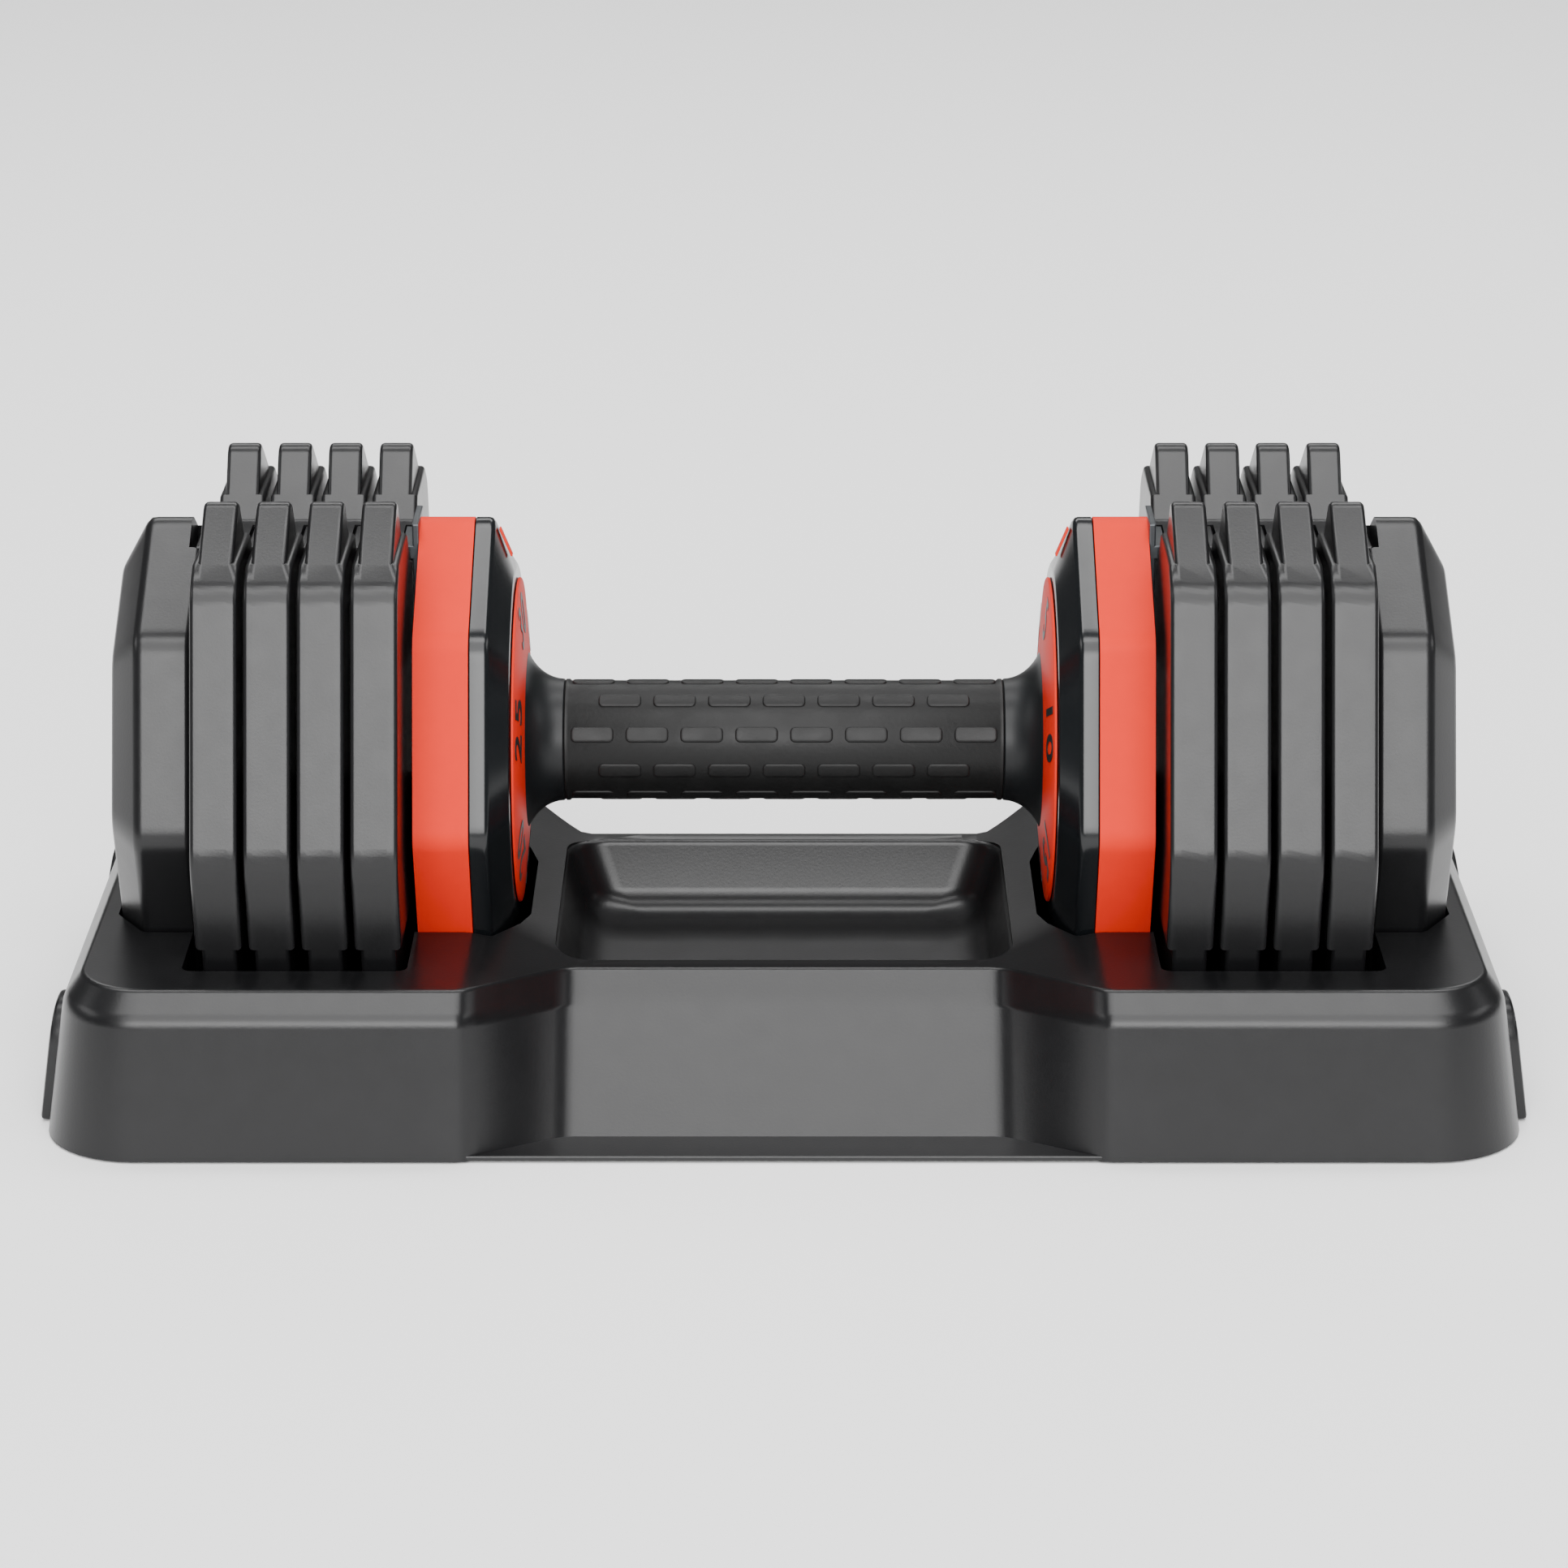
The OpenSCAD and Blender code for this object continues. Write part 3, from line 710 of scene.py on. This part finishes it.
def front_stations():
    """Control points of the wall sections from the middle of the front to the middle of the right-hand end."""
    out = []
    for x in (0, 20, 40, 52):
        out.append([Vector((x, -y, z)) for z, y in WAIST])
    for k in range(11):
        t = k / 10
        x = WAIST_X - 2 + (LOBE_X - WAIST_X + 4) * t
        line = min(1, max(0, (x - WAIST_X) / (LOBE_X - WAIST_X)))
        ease = 0.8 * line + 0.2 * line * line * (3 - 2 * line)
        out.append([Vector((x, -(w[1] + (l[1] - w[1]) * ease), w[0] + (l[0] - w[0]) * ease))
                    for w, l in zip(WAIST, LOBE)])
    for x in (100, 130, 155):
        out.append([Vector((x, -l[1], l[0])) for l in LOBE])
    for k in range(11):
        a = math.radians(9 * k)
        out.append([Vector((l[2] - l[3] + l[3] * math.sin(a), -(l[1] - l[3] + l[3] * math.cos(a)), l[0]))
                    for l in LOBE])
    for share in (0.66, 0.33):
        out.append([Vector((l[2], -(l[1] - l[3]) * share, l[0])) for l in LOBE])
    return out


def tray_skin():
    """The closed outer form of the tray."""
    front = [tray_profile(p) for p in front_stations()]
    centre_end = tray_profile([Vector((l[2], 0, l[0])) for l in LOBE])
    flip_y = [[Vector((p.x, -p.y, p.z)) for p in s] for s in front]
    quarter = front + [centre_end]
    right = quarter + flip_y[::-1]
    left = [[Vector((-p.x, p.y, p.z)) for p in s] for s in right[::-1]]
    loop = right + left[1:-1]
    bm = bmesh.new()
    rows = [[bm.verts.new(p) for p in s] for s in loop]
    count = len(rows)
    for i in range(count):
        a, b = rows[i], rows[(i + 1) % count]
        for k in range(len(a) - 1):
            bm.faces.new((a[k], b[k], b[k + 1], a[k + 1]))
    bm.faces.new([r[0] for r in rows])
    # The top is flat from side to side: strips across it, and one flat face on each end
    straight = [i for i, p in enumerate(front) if p[-1].x <= 156]
    last = straight[-1]
    n = len(right) - 1
    for i in range(last):
        bm.faces.new((rows[i][-1], rows[i + 1][-1], rows[n - i - 1][-1], rows[n - i][-1]))
        a, b = (count - i) % count, (count - i - 1) % count
        c, d = n + i + 1, n + i
        bm.faces.new((rows[a][-1], rows[b][-1], rows[c][-1], rows[d][-1]))
    bm.faces.new([rows[i][-1] for i in range(last, n - last + 1)])
    bm.faces.new([rows[i][-1] for i in range(n + last, count - last + 1)])
    return bm


def well(plan, floor, grow=0.0):
    """A pocket with rounded corners from its floor to above the tray, grown sideways and downwards."""
    outline = plan + [(x, -y) for x, y in reversed(plan)]
    corners = [Vector(p) for p in outline]
    moved = []
    for i, corner in enumerate(corners):
        before = (corner - corners[i - 1]).normalized()
        after = (corners[(i + 1) % len(corners)] - corner).normalized()
        normal_a, normal_b = Vector((-before.y, before.x)), Vector((-after.y, after.x))
        push = (normal_a + normal_b) / (1 + normal_a.dot(normal_b))
        moved.append(corner - push * grow * area_sign(corners))
    plan_points = rounded([(p.x, p.y, POCKET_R + grow) for p in moved])
    bm = bmesh.new()
    add_loft(bm, [[(x, y, z) for x, y in plan_points] for z in (floor - grow, 52)])
    return bm


def area_sign(points):
    """1 for points that run counter-clockwise, -1 for clockwise."""
    return 1 if sum(p.cross(q) for p, q in zip(points, points[1:] + points[:1])) > 0 else -1


def pan_cutter():
    rings = []
    for z, half_x, half_y in PAN:
        rings.append([(x, y, z) for x, y in corner_ring(half_x, half_y, PAN_CORNER_R, 8)])
    bm = bmesh.new()
    add_loft(bm, rings)
    return bm


def prism_between(outline, x0, x1):
    """A prism along X from an outline of (y, height above the floor)."""
    bm = bmesh.new()
    add_prism(bm, [(y, z - AXIS_Z) for y, z in outline], x0, x1)
    return bm


def inside_of(wall):
    """The hollow behind a wall section, across the tray, from just under its foot."""
    inset = TRAY_WALL + 1
    return both_sides([(wall[0][1] - inset, -1)] + [(w[1] - inset, w[0] - TRAY_WALL) for w in wall[1:]])


def tray_hollow():
    """The space under the tray, less the pockets and the pan with their walls, in millimetres."""
    hollow = finish_mesh("hollow", prism_between(inside_of(WAIST), -LOBE_X - 6, LOBE_X + 6))
    for flip in (False, True):
        boolean(hollow, prism_between(inside_of(LOBE), LOBE_X + 1, HOLLOW_END), "UNION", flip)
    for flip in (False, True):
        for plan, floor in POCKETS:
            boolean(hollow, well(plan, floor, TRAY_WALL), flip=flip)
    boolean(hollow, block(*PAN_SPACE))
    graph = bpy.context.evaluated_depsgraph_get()
    cutter = bmesh.new()
    cutter.from_object(hollow, graph)
    bmesh.ops.scale(cutter, vec=(1 / MM,) * 3, verts=cutter.verts)
    bpy.data.objects.remove(hollow)
    return cutter


def make_tray():
    tray = finish_mesh("tray_body", tray_skin(), sharp=50)
    boolean(tray, tray_hollow(), sharp=50)
    for flip in (False, True):
        for plan, floor in POCKETS:
            boolean(tray, well(plan, floor), flip=flip, sharp=50)
    boolean(tray, pan_cutter(), sharp=50)
    even_normals(tray)
    dress(tray, "tray_plastic", "tray", "tray_shell")
    for name, sign in (("front", -1), ("back", 1)):
        near, far = sorted(sign * y for y in LIP_Y)
        low, high = LIP_Z
        lip = finish_mesh(f"tray_lip_{name}", block((-LIP_HALF, near, low), (LIP_HALF, far, high)))
        round_edges(lip, 0.5, 3)
        dress(lip, "tray_plastic", "tray")
    for side, sign in SIDES.items():
        post = finish_mesh(f"tray_post_{side}", block(*POST), sign < 0)
        round_edges(post, 0.4)
        dress(post, "tray_plastic", "tray")
        for name, y in (("front", -LUG_Y), ("back", LUG_Y)):
            lug = finish_mesh(f"tray_lug_{name}_{side}", lug_mesh(y), sign < 0)
            dress(lug, "tray_plastic", "tray")


def lug_mesh(y):
    """An arched pad with a raised rim, lying on the sloping end wall."""
    foot, shoulder = LOBE[0], LOBE[1]
    slope = (foot[2] - shoulder[2]) / (shoulder[0] - foot[0])
    rings = []
    # Steps over the rim and down to the sunk face, as (inset, height off the wall)
    for inset, lift in ((0, -2), (0, 2.1), (0.3, 2.7), (0.9, 3), (2.0, 3), (2.5, 2.8), (2.9, 2.2), (3.5, 1.9)):
        half, low, high = LUG_HALF - inset, foot[0] + inset * 0.7, LUG_TOP - inset
        radius = LUG_ARCH_R - inset
        arch = rounded([(-half, low, 1), (half, low, 1), (half, high, radius), (-half, high, radius)], 7)
        rings.append([(foot[2] - slope * (z - foot[0]) + lift, y + across, z) for across, z in arch])
    bm = bmesh.new()
    add_loft(bm, rings)
    return bm


def soften_cad():
    """Small rounded edges on the CAD nodes that show."""
    for name in ("plate_hook_left", "plate_hook_right"):
        node = frame["nodes"][name]
        weld = node.modifiers.new("weld", "WELD")
        weld.merge_threshold = 1e-6
        bevel = node.modifiers.new("bevel", "BEVEL")
        bevel.width = 0.4 * MM
        bevel.segments = 2
        bevel.angle_limit = math.radians(40)


# ---------- Camera, light and floor ----------

# Metres from the handle to the camera, and from the handle down to where it aims
CAMERA_FAR = 1.400
AIM_DROP = 0.0125
CAMERA_TILT = math.radians(18)
FLOOR_SIZE = 6.0


def make_camera():
    handle = Vector((0, 0, AXIS_Z * MM))
    up = Vector((0, math.sin(CAMERA_TILT), math.cos(CAMERA_TILT)))
    back = Vector((0, -math.cos(CAMERA_TILT), math.sin(CAMERA_TILT)))
    data = bpy.data.cameras.new("camera")
    data.lens = 115
    data.sensor_width = 36
    camera = bpy.data.objects.new("camera", data)
    camera.location = handle + back * CAMERA_FAR
    aim = handle - up * AIM_DROP
    camera.rotation_euler = (aim - camera.location).to_track_quat("-Z", "Y").to_euler()
    bpy.context.collection.objects.link(camera)
    bpy.context.scene.camera = camera


def area_light(name, place, target, size, power, size_y):
    data = bpy.data.lights.new(name, "AREA")
    data.energy = power
    data.shape = "RECTANGLE"
    data.size = size
    data.size_y = size_y
    light = bpy.data.objects.new(name, data)
    light.location = place
    light.rotation_euler = (Vector(target) - Vector(place)).to_track_quat("-Z", "Y").to_euler()
    bpy.context.collection.objects.link(light)


def make_stage():
    bm = bmesh.new()
    bmesh.ops.create_grid(bm, x_segments=1, y_segments=1, size=FLOOR_SIZE / MM)
    floor = finish_mesh("floor", bm)
    mat = new_material("floor_paper", (0.9, 0.9, 0.9), 0.9, specular=0.1)
    floor.data.materials.append(mat)
    world = bpy.data.worlds.new("studio")
    world.use_nodes = True
    world.node_tree.nodes["Background"].inputs["Color"].default_value = (1, 1, 1, 1)
    world.node_tree.nodes["Background"].inputs["Strength"].default_value = 0.12
    bpy.context.scene.world = world
    # Each softbox as (name, azimuth, elevation, distance, width, height, radiance)
    softboxes = [("front", 0, 18, 2.3, 2.4, 0.8, 9.0), ("high_front", 0, 70, 2.0, 2.4, 0.5, 9.0),
                 ("high_back", 180, 73, 2.0, 2.4, 0.5, 9.0), ("back", 180, 36, 2.4, 2.0, 0.5, 5.0),
                 ("left", -90, 26, 2.4, 1.2, 0.5, 3.5), ("right", 90, 26, 2.4, 1.2, 0.5, 3.5)]
    middle = Vector((0, 0, 0.08))
    for name, azimuth, elevation, distance, width, height, radiance in softboxes:
        az, el = math.radians(azimuth), math.radians(elevation)
        way = Vector((math.sin(az) * math.cos(el), -math.cos(az) * math.cos(el), math.sin(el)))
        area_light(name, middle + way * distance, middle, width, radiance * math.pi * width * height, height)
    sun = bpy.data.lights.new("sky", "SUN")
    sun.energy = 3.0
    sun.angle = math.radians(50)
    sky = bpy.data.objects.new("sky", sun)
    sky.rotation_euler = (math.radians(48), 0, 0)
    bpy.context.collection.objects.link(sky)


make_camera()
make_stage()
make_tray()
make_plates()
make_end_plates()
make_heads()
make_dials()
make_grip()
soften_cad()
